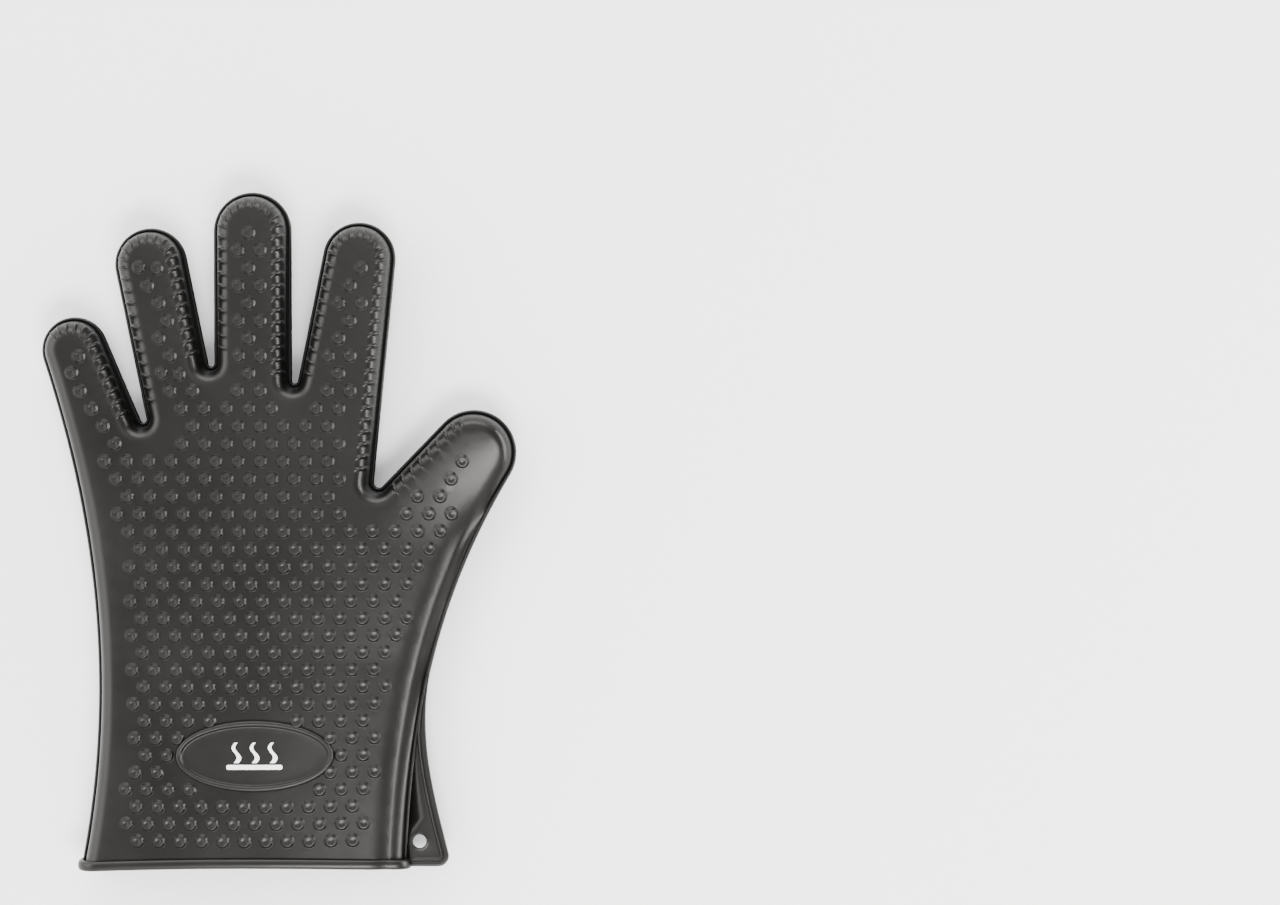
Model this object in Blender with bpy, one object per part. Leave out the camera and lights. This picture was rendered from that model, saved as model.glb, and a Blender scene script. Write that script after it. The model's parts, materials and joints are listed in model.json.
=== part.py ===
"""Heat resistant silicone glove with five fingers, lying flat with its palm side up.

The glove is one thick silicone skin with a thin parting flange all round its outline. It is
modelled as the regions it bends and is made in: two cuff walls, two palm walls, a sleeve for each
finger stretch, a fold band at every place that flexes, the rolled mouth lip, the hang tab and the
badges. The origin is under the middle of the outline, +Y runs to the fingertips, +X to the thumb
and +Z out of the upper face. Sizes are in millimetres until the meshes are made, in metres.
"""
import math

import bmesh
import bpy
from mathutils import Vector

MM = 0.001
TOUCHING = 1e-4           # points nearer than this are one point
SHARP_EDGE = 35           # degrees

# Clearances and thickness
GAP = 0.3                 # left between neighbouring pieces
WALL = 1.7                # silicone thickness
HALF_THICKNESS = 12.5     # from the parting plane to the flat faces
LIP_PROUD = 2.0           # how far the mouth lip stands out of the walls
MID_Z = HALF_THICKNESS + LIP_PROUD

# Skin profile, as (depth inside the outline, height above the parting plane)
FLANGE_WIDTH = 1.8
FLANGE_HALF = 0.9
SHOULDER = 9.5
CAVITY_EDGE = FLANGE_WIDTH + WALL
CAVITY_HALF = HALF_THICKNESS - WALL
OUTER_PROFILE = (
    (0.0, FLANGE_HALF),
    (FLANGE_WIDTH, FLANGE_HALF),
    (FLANGE_WIDTH + 0.8, 0.5 * HALF_THICKNESS),
    (FLANGE_WIDTH + 3.4, 0.87 * HALF_THICKNESS),
    (SHOULDER, HALF_THICKNESS),
)
INNER_PROFILE = (
    (0.0, 0.0),
    (CAVITY_EDGE, 0.0),
    (CAVITY_EDGE + 0.8, 0.47 * CAVITY_HALF),
    (CAVITY_EDGE + 2.8, 0.85 * CAVITY_HALF),
    (SHOULDER + 1.0, CAVITY_HALF),
)

# Fingers from the little finger to the thumb. Knuckle and middle are the distances of the two
# bending axes behind the tip's centre, each with the bend in degrees that its fold leaves room for.
FINGERS = {
    "pinky": {"centre": (-96.0, 85.6), "radius": 15.5, "knuckle": (33.2, 45), "middle": (14.3, 45)},
    "ring": {"centre": (-60.2, 125.9), "radius": 17.0, "knuckle": (42.0, 50), "middle": (15.9, 60)},
    "middle": {"centre": (-12.5, 141.4), "radius": 18.3, "knuckle": (52.8, 50), "middle": (21.8, 60)},
    "index": {"centre": (37.6, 128.5), "radius": 17.1, "knuckle": (50.4, 50), "middle": (20.0, 60)},
    "thumb": {"centre": (91.5, 37.5), "radius": 20.0, "knuckle": (30.4, 35), "middle": (12.8, 40)},
}
FOLD_MARGIN = 0.8          # spare length at each end of a fold when it is bent fully
CROTCHES = (
    ((-63.8, 53.0), 1.4),
    ((-31.9, 79.3), 1.4),
    ((7.4, 71.3), 1.4),
    ((46.9, 23.4), 2.4),
)
PINKY_SIDE_ANGLE = 198.0   # outward normal where the left side leaves the little finger
THUMB_SIDE_ANGLE = -30.9   # outward normal where the right side leaves the thumb

# Side curves, from the cuff corners to the little finger and the thumb
MOUTH_Y = -154.6
LEFT_CORNER = (-92.2, MOUTH_Y)
LEFT_CORNER_LEAN = 10.6    # degrees from +Y
LEFT_HANDLES = (80.8, 81.7)
RIGHT_CORNER = (60.3, MOUTH_Y)
RIGHT_CORNER_LEAN = 2.1
RIGHT_HANDLES = (64.5, 69.7)
SIDE_STEPS = 20
TIP_STEPS = 12
CROTCH_STEPS = 4
CUT_CLEARANCE = 3.0        # samples nearer than this to a cut are left out, as their rings skew

# Wrist, mouth and lip
WRIST_TOP_Y = -40.0
WRIST_BOTTOM_Y = -58.0
MOUTH_BOW = 2.0            # how much further up the mouth's middle lies than its corners
MOUTH_STEPS = 8
LIP_LENGTH = 4.8
LIP_ROUND = 1.1
LIP_WALL_INSET = 2.0
LIP_CORNER_STEPS = 5

# Hang tab: the flange widened beside the cuff
TAB_HALF = 1.1
TAB_TOP_Y = -86.0
TAB_TOP_WIDTH = 0.8
TAB_CORNER = (79.6, -151.0)
TAB_BOTTOM_Y = -157.0
TAB_HANDLES = (28.0, 18.0)
TAB_CORNER_LEAN = 14.0     # degrees off straight down where the edge meets its bottom corner
TAB_STEPS = 12
TAB_CORNER_STEPS = 4
HOLE_CENTRE = (66.0, -145.3)
HOLE_RADIUS = 3.0
HOLE_STEPS = 24

# Badge: an oval plate with a raised rim, let into the cuff wall
BADGE_CENTRE = (-9.5, -103.5)
BADGE_HALF = (37.0, 16.9)
BADGE_FIELD_HALF = (34.0, 14.4)
BADGE_SINK = 0.9           # depth of the recess in the wall
BADGE_RIM_HEIGHT = 0.9
BADGE_FIELD_HEIGHT = -0.1
BADGE_STEPS = 48
CUTTER_REACH = 4.0

# Emblem: three rising heat waves on a bar
EMBLEM_BAR = (26.0, 2.2)
EMBLEM_WAVES = 3
EMBLEM_WAVE_PITCH = 8.4
EMBLEM_WAVE_WIDTH = 2.4
EMBLEM_WAVE_HEIGHT = 10.4
EMBLEM_WAVE_SWAY = 1.3
EMBLEM_WAVE_TAPER = 0.45   # share of its width that a wave loses towards its top
EMBLEM_STEPS = 12
EMBLEM_THICKNESS = 0.3
EMBLEM_HEIGHT = BADGE_FIELD_HEIGHT + GAP

# Colours
SKIN = (0.035, 0.034, 0.033)
SKIN_ROUGHNESS = 0.5
FOLD = (0.045, 0.044, 0.043)
BADGE = (0.028, 0.028, 0.028)
EMBLEM = (0.8, 0.8, 0.78)
EMBLEM_ROUGHNESS = 0.45


def flat(xy):
    return Vector((xy[0], xy[1]))


def at_angle(radians):
    return Vector((math.cos(radians), math.sin(radians)))


# ---------------------------------------------------------------- outline

def travel(normal):
    """Direction of travel, clockwise round the glove, where the outline faces normal."""
    return Vector((normal.y, -normal.x))


def bezier(start, start_handle, end_handle, end, steps):
    """Points and outward normals along a cubic curve, both ends included."""
    samples = []
    for i in range(steps + 1):
        t = i / steps
        s = 1.0 - t
        point = (s ** 3 * start + 3 * s * s * t * start_handle
                 + 3 * s * t * t * end_handle + t ** 3 * end)
        along = (s * s * (start_handle - start) + 2 * s * t * (end_handle - start_handle)
                 + t * t * (end - end_handle)).normalized()
        samples.append((point, Vector((-along.y, along.x))))
    return samples


def tangent_angle(circle_a, circle_b):
    """Angle of the outward normal on the straight side that joins two signed circles."""
    reach = flat(circle_b[0]) - flat(circle_a[0])
    lean = math.acos((circle_a[1] - circle_b[1]) / reach.length)
    return math.atan2(reach.y, reach.x) + lean


def arc(circle, angle_in, angle_out, steps):
    """Samples on a signed circle: tips turn clockwise, crotches have a negative radius."""
    centre, radius = flat(circle[0]), circle[1]
    turn = (angle_out - angle_in) % (2 * math.pi)
    if radius > 0:
        turn -= 2 * math.pi
    samples = []
    for i in range(steps + 1):
        normal = at_angle(angle_in + turn * i / steps)
        samples.append((centre + radius * normal, normal))
    return samples


def make_outline():
    """The outline's samples, the sample at each finger's tip, and each finger's direction."""
    circles = []
    for finger, crotch in zip(FINGERS.values(), CROTCHES + (None,)):
        circles.append((finger["centre"], finger["radius"]))
        if crotch:
            circles.append((crotch[0], -crotch[1]))
    angles = [math.radians(PINKY_SIDE_ANGLE)]
    angles += [tangent_angle(a, b) for a, b in zip(circles, circles[1:])]
    angles += [math.radians(THUMB_SIDE_ANGLE)]

    pinky_centre, pinky_radius = circles[0]
    start = flat(LEFT_CORNER)
    end = flat(pinky_centre) + pinky_radius * at_angle(angles[0])
    lean = at_angle(math.radians(90 - LEFT_CORNER_LEAN))
    samples = bezier(start, start + LEFT_HANDLES[0] * lean,
                     end - LEFT_HANDLES[1] * travel(at_angle(angles[0])), end, SIDE_STEPS)[:-1]
    tips = []
    for i, circle in enumerate(circles):
        steps = TIP_STEPS if circle[1] > 0 else CROTCH_STEPS
        stretch = arc(circle, angles[i], angles[i + 1], steps)
        if circle[1] > 0:
            tips.append(len(samples) + steps // 2)
        samples += stretch
    start = samples.pop()[0]
    end = flat(RIGHT_CORNER)
    lean = at_angle(math.radians(-90 - RIGHT_CORNER_LEAN))
    samples += bezier(start, start + RIGHT_HANDLES[0] * travel(at_angle(angles[-1])),
                      end - RIGHT_HANDLES[1] * lean, end, SIDE_STEPS)
    directions = []
    for i in range(len(FINGERS)):
        rise = travel(at_angle(angles[2 * i])) - travel(at_angle(angles[2 * i + 1]))
        directions.append(rise.normalized())
    return samples, tips, directions


SAMPLES, TIPS, DIRECTIONS = make_outline()
LAST = len(SAMPLES) - 1


# ---------------------------------------------------------------- cuts and chains

class Cut:
    """A straight line across the glove. Points beyond it have a positive side."""

    def __init__(self, point, direction):
        self.point = flat(point)
        self.direction = direction.normalized()

    def moved(self, distance):
        return Cut(self.point + distance * self.direction, self.direction)

    def side(self, point):
        return (point - self.point).dot(self.direction)


def inside(sample, depth):
    return sample[0] - depth * sample[1]


def crossing(cut, first, last):
    """The outline segment between samples first and last that the cut passes through."""
    step = 1 if last > first else -1
    for i in range(first, last, step):
        low = min(i, i + step)
        if cut.side(SAMPLES[low][0]) * cut.side(SAMPLES[low + 1][0]) <= 0:
            return low
    raise ValueError("the cut misses this side of the outline")


def on_cut(cut, segment, depth):
    """Where the outline, moved inwards by depth, meets the cut."""
    a, b = inside(SAMPLES[segment], depth), inside(SAMPLES[segment + 1], depth)
    side_a, side_b = cut.side(a), cut.side(b)
    return a.lerp(b, side_a / (side_a - side_b))


def chain(profile, start, end):
    """Rings of points along one stretch of outline. Each end is a (cut, segment) pair."""
    between = [i for i in range(start[1] + 1, end[1] + 1)
               if abs(start[0].side(SAMPLES[i][0])) > CUT_CLEARANCE
               and abs(end[0].side(SAMPLES[i][0])) > CUT_CLEARANCE]
    rings = []
    for depth, height in profile:
        points = [on_cut(start[0], start[1], depth)]
        points += [inside(SAMPLES[i], depth) for i in between]
        points.append(on_cut(end[0], end[1], depth))
        rings.append([Vector((p.x, p.y, height)) for p in points])
    return rings


def fold_span(axis):
    """Start and end of a fold, as distances behind the tip's centre."""
    distance, bend = axis
    half = HALF_THICKNESS * math.tan(math.radians(bend) / 2) + FOLD_MARGIN
    return distance + half, distance - half


def behind_tip(index, distance):
    """The point on a finger's middle line this far behind its tip's centre."""
    return flat(list(FINGERS.values())[index]["centre"]) - distance * DIRECTIONS[index]


def finger_cut(index, distance):
    return Cut(behind_tip(index, distance), DIRECTIONS[index])


def left_end(index, cut):
    reach = TIPS[index - 1] if index else 0
    return cut, crossing(cut, TIPS[index], reach)


def right_end(index, cut):
    reach = TIPS[index + 1] if index + 1 < len(TIPS) else LAST
    return cut, crossing(cut, TIPS[index], reach)


def level_ends(y):
    """Ends of a cut straight across the hand, on the left and on the right side."""
    cut = Cut((0.0, y), Vector((0.0, 1.0)))
    return (cut, crossing(cut, 0, TIPS[0])), (cut, crossing(cut, LAST, TIPS[-1]))


def mouth_bow(x):
    """How far the mouth's edge lies above its corners at x."""
    half = (RIGHT_CORNER[0] - LEFT_CORNER[0]) / 2
    middle = (RIGHT_CORNER[0] + LEFT_CORNER[0]) / 2
    return MOUTH_BOW * (1.0 - ((x - middle) / half) ** 2)


# ---------------------------------------------------------------- meshes

def half_shell(bm, ends, lift=0.0, bowed_mouth=False):
    """One skin half over the stretches of outline in ends, closed where it is cut.

    The first surface made is the outer one and the second the cavity's. Both have the same number
    of points along their edges, so one ring of faces joins them all the way round.
    """
    skins = []
    for profile in (OUTER_PROFILE, INNER_PROFILE):
        raised = [(depth, max(height, lift)) for depth, height in profile]
        skins.append([chain(raised, *stretch) for stretch in ends])
    walls = []
    for rings_of in skins:
        made = [[[bm.verts.new(p) for p in ring] for ring in rings] for rings in rings_of]
        bridges = [[] for _ in ends]
        if bowed_mouth:
            right, left = rings_of[-1][-1][-1], rings_of[0][-1][0]
            for i in range(1, MOUTH_STEPS):
                point = right.lerp(left, i / MOUTH_STEPS)
                point.y += mouth_bow(point.x)
                bridges[-1].append(bm.verts.new(point))
        for rings in made:
            for low, high in zip(rings, rings[1:]):
                for j in range(len(low) - 1):
                    bm.faces.new((low[j], low[j + 1], high[j + 1], high[j]))
        bm.faces.new([v for rings, bridge in zip(made, bridges) for v in rings[-1] + bridge])
        rim = []
        for i, rings in enumerate(made):
            following = made[(i + 1) % len(made)]
            rim += rings[0][:-1]
            rim += [ring[-1] for ring in rings]
            rim += bridges[i]
            rim += [ring[0] for ring in reversed(following[1:])]
        walls.append(rim)
    for i in range(len(walls[0])):
        j = (i + 1) % len(walls[0])
        bm.faces.new((walls[0][i], walls[0][j], walls[1][j], walls[1][i]))


def wall_mesh(ends, side, bowed_mouth=False):
    """A front (+1) or back (-1) wall that stops half a gap short of the parting plane."""
    bm = bmesh.new()
    half_shell(bm, ends, GAP / 2, bowed_mouth)
    if side < 0:
        bmesh.ops.scale(bm, vec=(1, 1, -1), verts=bm.verts)
    return bm


def tube_mesh(ends):
    """Both skin halves over one stretch, joined along the parting plane."""
    bm = bmesh.new()
    half_shell(bm, ends)
    on_plane = [f for f in bm.faces if all(abs(v.co.z) < TOUCHING for v in f.verts)]
    bmesh.ops.delete(bm, geom=on_plane, context="FACES_ONLY")
    bmesh.ops.mirror(bm, geom=bm.verts[:] + bm.edges[:] + bm.faces[:], axis="Z",
                     merge_dist=TOUCHING)
    return bm


def bridge_rings(bm, rings):
    """Closes rings of equal length into one ring-shaped body, the last back to the first."""
    made = [[bm.verts.new(p) for p in ring] for ring in rings]
    for low, high in zip(made, made[1:] + made[:1]):
        for j in range(len(low)):
            k = (j + 1) % len(low)
            bm.faces.new((low[j], low[k], high[k], high[j]))


def plate_mesh(outline, low, high):
    """A flat plate with this outline, between two heights."""
    bm = bmesh.new()
    rings = [[bm.verts.new((p.x, p.y, z)) for p in outline] for z in (low, high)]
    for ring in rings:
        bm.faces.new(ring)
    for j in range(len(outline)):
        k = (j + 1) % len(outline)
        bm.faces.new((rings[0][j], rings[0][k], rings[1][k], rings[1][j]))
    return bm


def mouth_loop(grow, y):
    """A loop round the cuff mouth: flat top and bottom, half-ellipse ends."""
    left, right = LEFT_CORNER[0] + SHOULDER, RIGHT_CORNER[0] - SHOULDER
    tall = HALF_THICKNESS + grow
    wide = SHOULDER + grow
    points = []
    for start, end, centre, angle in ((left, right, right, 90.0), (right, left, left, -90.0)):
        for i in range(1, MOUTH_STEPS):
            x = start + (end - start) * i / MOUTH_STEPS
            points.append((x, math.copysign(tall, angle)))
        for i in range(2 * LIP_CORNER_STEPS + 1):
            around = math.radians(angle - 180.0 * i / (2 * LIP_CORNER_STEPS))
            points.append((centre + wide * math.cos(around), tall * math.sin(around)))
    return [Vector((x, y + mouth_bow(x), z)) for x, z in points]


def lip_mesh():
    """The rolled bead round the cuff mouth."""
    top = MOUTH_Y - GAP
    bottom = top - LIP_LENGTH
    proud, inset = LIP_PROUD, -LIP_WALL_INSET
    bm = bmesh.new()
    bridge_rings(bm, [
        mouth_loop(proud - LIP_ROUND, top),
        mouth_loop(proud, top - LIP_ROUND),
        mouth_loop(proud, bottom + LIP_ROUND),
        mouth_loop(proud - LIP_ROUND, bottom),
        mouth_loop(inset, bottom),
        mouth_loop(inset, top),
    ])
    return bm


def tab_outline():
    """The web between the cuff's right side and the tab's free edge, clockwise."""
    top = Cut((0.0, TAB_TOP_Y), Vector((0.0, 1.0)))
    first = crossing(top, LAST, TIPS[-1])
    inner = [on_cut(top, first, -GAP)]
    inner += [inside(SAMPLES[i], -GAP) for i in range(first + 1, LAST + 1)]
    start = inner[0] + Vector((TAB_TOP_WIDTH, 0.0))
    corner = flat(TAB_CORNER)
    down = at_angle(math.radians(-90.0))
    lean = at_angle(math.radians(-90.0 + TAB_CORNER_LEAN))
    edge = [p for p, _ in bezier(start, start + TAB_HANDLES[0] * down,
                                 corner - TAB_HANDLES[1] * lean, corner, TAB_STEPS)]
    radius = corner.y - TAB_BOTTOM_Y
    for i in range(1, TAB_CORNER_STEPS + 1):
        turned = at_angle(-math.pi / 2 * i / TAB_CORNER_STEPS)
        edge.append(corner + radius * (turned - Vector((1.0, 0.0))))
    lip_side = RIGHT_CORNER[0] + LIP_PROUD + GAP
    foot = [Vector((lip_side, TAB_BOTTOM_Y)), Vector((lip_side, MOUTH_Y + GAP))]
    return edge + foot + list(reversed(inner[1:]))[1:] + [inner[0]]


def ellipse(half, steps):
    return [Vector((half[0] * math.cos(2 * math.pi * i / steps),
                    half[1] * math.sin(2 * math.pi * i / steps))) for i in range(steps)]


def badge_mesh():
    """Oval plate with a raised rim, centred on its own origin at the wall's face."""
    bottom = -BADGE_SINK + GAP
    field = ellipse(BADGE_FIELD_HALF, BADGE_STEPS)
    crest_half = [(a + b) / 2 for a, b in zip(BADGE_HALF, BADGE_FIELD_HALF)]
    levels = (
        (ellipse(BADGE_HALF, BADGE_STEPS), bottom),
        (ellipse(BADGE_HALF, BADGE_STEPS), 0.0),
        (ellipse(crest_half, BADGE_STEPS), BADGE_RIM_HEIGHT),
        (field, BADGE_FIELD_HEIGHT),
    )
    bm = bmesh.new()
    made = [[bm.verts.new((p.x, p.y, z)) for p in ring] for ring, z in levels]
    for low, high in zip(made, made[1:]):
        for j in range(BADGE_STEPS):
            k = (j + 1) % BADGE_STEPS
            bm.faces.new((low[j], low[k], high[k], high[j]))
    bm.faces.new(made[0])
    bm.faces.new(made[-1])
    return bm


def emblem_outline():
    """Three waves that rise from a bar, as one outline round the whole emblem."""
    foot = -(EMBLEM_BAR[1] + EMBLEM_WAVE_HEIGHT) / 2
    top_of_bar = foot + EMBLEM_BAR[1]
    half = EMBLEM_BAR[0] / 2
    points = [Vector((half, foot)), Vector((-half, foot)), Vector((-half, top_of_bar))]
    for wave in range(EMBLEM_WAVES):
        middle = (wave - (EMBLEM_WAVES - 1) / 2) * EMBLEM_WAVE_PITCH
        for side, steps in ((-1, range(EMBLEM_STEPS + 1)), (1, range(EMBLEM_STEPS, -1, -1))):
            for i in steps:
                rise = i / EMBLEM_STEPS
                sway = EMBLEM_WAVE_SWAY * math.sin(2 * math.pi * rise)
                half_width = (1.0 - EMBLEM_WAVE_TAPER * rise) * EMBLEM_WAVE_WIDTH / 2
                x = middle + sway + side * half_width
                points.append(Vector((x, top_of_bar + EMBLEM_WAVE_HEIGHT * rise)))
    points.append(Vector((half, top_of_bar)))
    return points


# ---------------------------------------------------------------- objects

def clear_scene():
    for obj in list(bpy.data.objects):
        bpy.data.objects.remove(obj, do_unlink=True)


def make_material(name, color, roughness):
    material = bpy.data.materials.new(name)
    material.use_nodes = True
    shader = material.node_tree.nodes["Principled BSDF"]
    shader.inputs["Base Color"].default_value = (*color, 1.0)
    shader.inputs["Roughness"].default_value = roughness
    shader.inputs["Metallic"].default_value = 0.0
    return material


def world_of(obj):
    place = obj.location.copy()
    while obj.parent:
        obj = obj.parent
        place += obj.location
    return place


def make_pivot(name, x, y, parent=None):
    """An empty on a joint's axis. Its children's meshes are drawn from it."""
    pivot = bpy.data.objects.new(name, None)
    bpy.context.collection.objects.link(pivot)
    pivot.location = Vector((x, y, MID_Z)) * MM
    if parent:
        pivot.parent = parent
        pivot.location -= world_of(parent)
    return pivot


def make_object(name, bm, color, roughness, pivot, place=None):
    """A named object under its pivot.

    Its mesh is drawn round place, which becomes its location. Without a place it is drawn round
    the glove's own origin on the parting plane, and it is shifted to have its origin on the pivot.
    """
    bmesh.ops.recalc_face_normals(bm, faces=bm.faces)
    bmesh.ops.scale(bm, vec=(MM, MM, MM), verts=bm.verts)
    if place is None:
        drawn_at = Vector((0.0, 0.0, MID_Z * MM))
        bmesh.ops.translate(bm, vec=drawn_at - world_of(pivot), verts=bm.verts)
    mesh = bpy.data.meshes.new(name)
    bm.to_mesh(mesh)
    bm.free()
    mesh.shade_smooth()
    mesh.set_sharp_from_angle(angle=math.radians(SHARP_EDGE))
    mesh.materials.append(make_material(name, color, roughness))
    obj = bpy.data.objects.new(name, mesh)
    bpy.context.collection.objects.link(obj)
    obj.parent = pivot
    if place is not None:
        obj.location = place - world_of(pivot)
    return obj


def make_cutter(name, bm, target, place, pivot):
    """A hidden solid that an EXACT Boolean takes out of the target."""
    cutter = make_object(name, bm, SKIN, SKIN_ROUGHNESS, pivot, place)
    cutter.hide_render = True
    cutter.display_type = "WIRE"
    cut = target.modifiers.new(name, "BOOLEAN")
    cut.operation = "DIFFERENCE"
    cut.object = cutter
    return cutter


def badge_place(side):
    return Vector((*BADGE_CENTRE, MID_Z + side * HALF_THICKNESS)) * MM


def face_turn(side):
    """The back badge is the front one turned over about Y, so it reads the right way round."""
    return 0.0 if side > 0 else math.pi


def build_cuff(root):
    left, right = level_ends(WRIST_BOTTOM_Y - GAP / 2)
    mouth_left, mouth_right = level_ends(MOUTH_Y + GAP)
    ends = [(mouth_left, left), (right, mouth_right)]
    for name, side in (("cuff_front_wall", 1), ("cuff_back_wall", -1)):
        wall = make_object(name, wall_mesh(ends, side, True), SKIN, SKIN_ROUGHNESS, root)
        recess = plate_mesh(ellipse([a + GAP for a in BADGE_HALF], BADGE_STEPS),
                            -BADGE_SINK, CUTTER_REACH)
        cutter = make_cutter(name + "_recess", recess, wall, badge_place(side), root)
        cutter.rotation_euler.y = face_turn(side)
    make_object("cuff_lip", lip_mesh(), SKIN, SKIN_ROUGHNESS, root)
    tab = make_object("hang_tab", plate_mesh(tab_outline(), -TAB_HALF, TAB_HALF),
                      SKIN, SKIN_ROUGHNESS, root)
    hole = plate_mesh(ellipse((HOLE_RADIUS, HOLE_RADIUS), HOLE_STEPS),
                      -CUTTER_REACH, CUTTER_REACH)
    make_cutter("hang_hole", hole, tab, Vector((*HOLE_CENTRE, MID_Z)) * MM, root)


def build_badges(root):
    for label, side in (("front", 1), ("back", -1)):
        badge = make_object(label + "_badge", badge_mesh(), BADGE, SKIN_ROUGHNESS, root,
                            badge_place(side))
        emblem = make_object(label + "_emblem",
                             plate_mesh(emblem_outline(), EMBLEM_HEIGHT,
                                        EMBLEM_HEIGHT + EMBLEM_THICKNESS),
                             EMBLEM, EMBLEM_ROUGHNESS, root, badge_place(side))
        for obj in (badge, emblem):
            obj.rotation_euler.y = face_turn(side)


def build_palm(root):
    """Wrist fold on the cuff, and the two palm walls on the wrist axis."""
    top, bottom = level_ends(WRIST_TOP_Y - GAP / 2), level_ends(WRIST_BOTTOM_Y + GAP / 2)
    fold = tube_mesh([(bottom[0], top[0]), (top[1], bottom[1])])
    make_object("wrist_fold", fold, FOLD, SKIN_ROUGHNESS, root)
    pivot = make_pivot("wrist_axis", 0.0, (WRIST_TOP_Y + WRIST_BOTTOM_Y) / 2)
    left, right = level_ends(WRIST_TOP_Y + GAP / 2)
    starts, stops = [left], []
    for i, finger in enumerate(FINGERS.values()):
        cut = finger_cut(i, fold_span(finger["knuckle"])[0] + GAP / 2)
        stops.append(left_end(i, cut))
        starts.append(right_end(i, cut))
    stops.append(right)
    ends = list(zip(starts, stops))
    for name, side in (("palm_front_wall", 1), ("palm_back_wall", -1)):
        make_object(name, wall_mesh(ends, side), SKIN, SKIN_ROUGHNESS, pivot)
    return pivot


def stretch(index, near, far):
    """Both sides of a finger between two cuts, or round its tip when far is None."""
    low = finger_cut(index, near - GAP / 2)
    if far is None:
        return [(left_end(index, low), right_end(index, low))]
    high = finger_cut(index, far + GAP / 2)
    return [(left_end(index, low), left_end(index, high)),
            (right_end(index, high), right_end(index, low))]


def build_finger(index, name, palm):
    """Knuckle fold, base sleeve, middle fold and tip sleeve of one finger."""
    finger = FINGERS[name]
    knuckle, middle = fold_span(finger["knuckle"]), fold_span(finger["middle"])
    base = make_pivot(name + "_knuckle_axis", *behind_tip(index, finger["knuckle"][0]), palm)
    tip = make_pivot(name + "_middle_axis", *behind_tip(index, finger["middle"][0]), base)
    for part, near, far, color, pivot in (
            ("knuckle_fold", knuckle[0], knuckle[1], FOLD, palm),
            ("base_sleeve", knuckle[1], middle[0], SKIN, base),
            ("middle_fold", middle[0], middle[1], FOLD, base),
            ("tip_sleeve", middle[1], None, SKIN, tip)):
        make_object(f"{name}_{part}", tube_mesh(stretch(index, near, far)), color,
                    SKIN_ROUGHNESS, pivot)


def main():
    clear_scene()
    root = make_pivot("cuff_root", 0.0, 0.0)
    build_cuff(root)
    build_badges(root)
    palm = build_palm(root)
    for index, name in enumerate(FINGERS):
        build_finger(index, name, palm)


main()
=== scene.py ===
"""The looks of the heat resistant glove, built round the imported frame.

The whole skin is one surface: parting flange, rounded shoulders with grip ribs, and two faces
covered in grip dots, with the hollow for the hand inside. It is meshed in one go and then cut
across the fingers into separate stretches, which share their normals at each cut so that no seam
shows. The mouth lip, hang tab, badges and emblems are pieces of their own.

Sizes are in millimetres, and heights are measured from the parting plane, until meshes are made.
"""
import json
import math

import bpy
import numpy as np
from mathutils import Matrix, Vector, kdtree
from mathutils.geometry import delaunay_2d_cdt, tessellate_polygon


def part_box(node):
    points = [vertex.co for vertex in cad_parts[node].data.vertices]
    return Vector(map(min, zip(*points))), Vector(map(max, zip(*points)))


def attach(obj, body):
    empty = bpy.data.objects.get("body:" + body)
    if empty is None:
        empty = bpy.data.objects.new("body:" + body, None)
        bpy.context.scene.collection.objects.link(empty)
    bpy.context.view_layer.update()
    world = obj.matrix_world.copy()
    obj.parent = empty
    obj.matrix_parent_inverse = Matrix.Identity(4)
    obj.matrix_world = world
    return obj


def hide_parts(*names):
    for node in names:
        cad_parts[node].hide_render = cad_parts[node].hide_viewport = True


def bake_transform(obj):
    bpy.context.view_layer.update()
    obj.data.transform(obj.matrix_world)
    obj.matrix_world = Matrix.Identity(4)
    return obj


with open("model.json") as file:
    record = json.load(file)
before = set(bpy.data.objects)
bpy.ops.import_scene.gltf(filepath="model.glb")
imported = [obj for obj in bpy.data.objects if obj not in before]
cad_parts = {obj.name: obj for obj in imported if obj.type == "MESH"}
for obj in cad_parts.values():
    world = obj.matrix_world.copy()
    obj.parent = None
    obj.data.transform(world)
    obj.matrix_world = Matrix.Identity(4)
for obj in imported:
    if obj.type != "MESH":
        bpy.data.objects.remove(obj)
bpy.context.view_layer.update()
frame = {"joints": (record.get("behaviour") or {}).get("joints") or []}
MM = 0.001

# ---------------------------------------------------------------- sizes from the frame


def box_mm(node):
    low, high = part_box(node)
    return np.array(low) / MM, np.array(high) / MM


SLEEVE_LOW, SLEEVE_HIGH = box_mm("middle_tip_sleeve")
MID_Z = (SLEEVE_LOW[2] + SLEEVE_HIGH[2]) / 2
HALF = (SLEEVE_HIGH[2] - SLEEVE_LOW[2]) / 2
PIVOTS = {joint["child"]: np.array(joint["pos_m"][:2]) / MM for joint in frame["joints"]}
LIP_HIGH = box_mm("cuff_lip")[1]
BADGE_LOW, BADGE_HIGH = box_mm("front_badge")
BADGE_CENTRE = (BADGE_LOW[:2] + BADGE_HIGH[:2]) / 2
BADGE_HALF = (BADGE_HIGH[:2] - BADGE_LOW[:2]) / 2

# ---------------------------------------------------------------- the outline's driving sizes

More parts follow.
